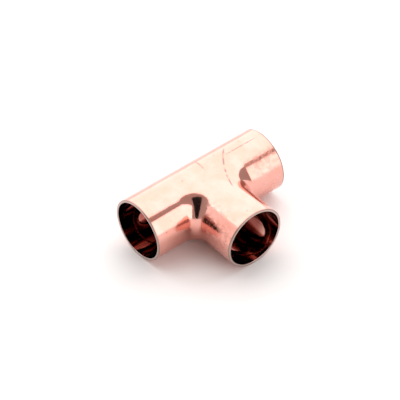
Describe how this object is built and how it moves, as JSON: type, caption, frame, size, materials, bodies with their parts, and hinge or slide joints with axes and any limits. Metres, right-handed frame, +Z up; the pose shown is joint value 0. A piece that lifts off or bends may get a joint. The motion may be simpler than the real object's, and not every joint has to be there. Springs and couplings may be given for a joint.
{
  "type": "tee fitting",
  "caption": "Plain copper end-feed equal tee: a straight run with a square branch, each mouth a solder socket with an inner tube stop.",
  "frame": {"origin": "centre of the footprint of the fitting's outline box, on the plane it lies on", "axes": "+X along the run, -Y the way the branch points, +Z up with the fitting lying on its side"},
  "size_m": [0.0584, 0.0418, 0.024],
  "materials": {
    "copper": "bright drawn copper, lightly handled"
  },
  "bodies": {
    "root": {"tee_body": "copper"}
  },
  "joints": []
}
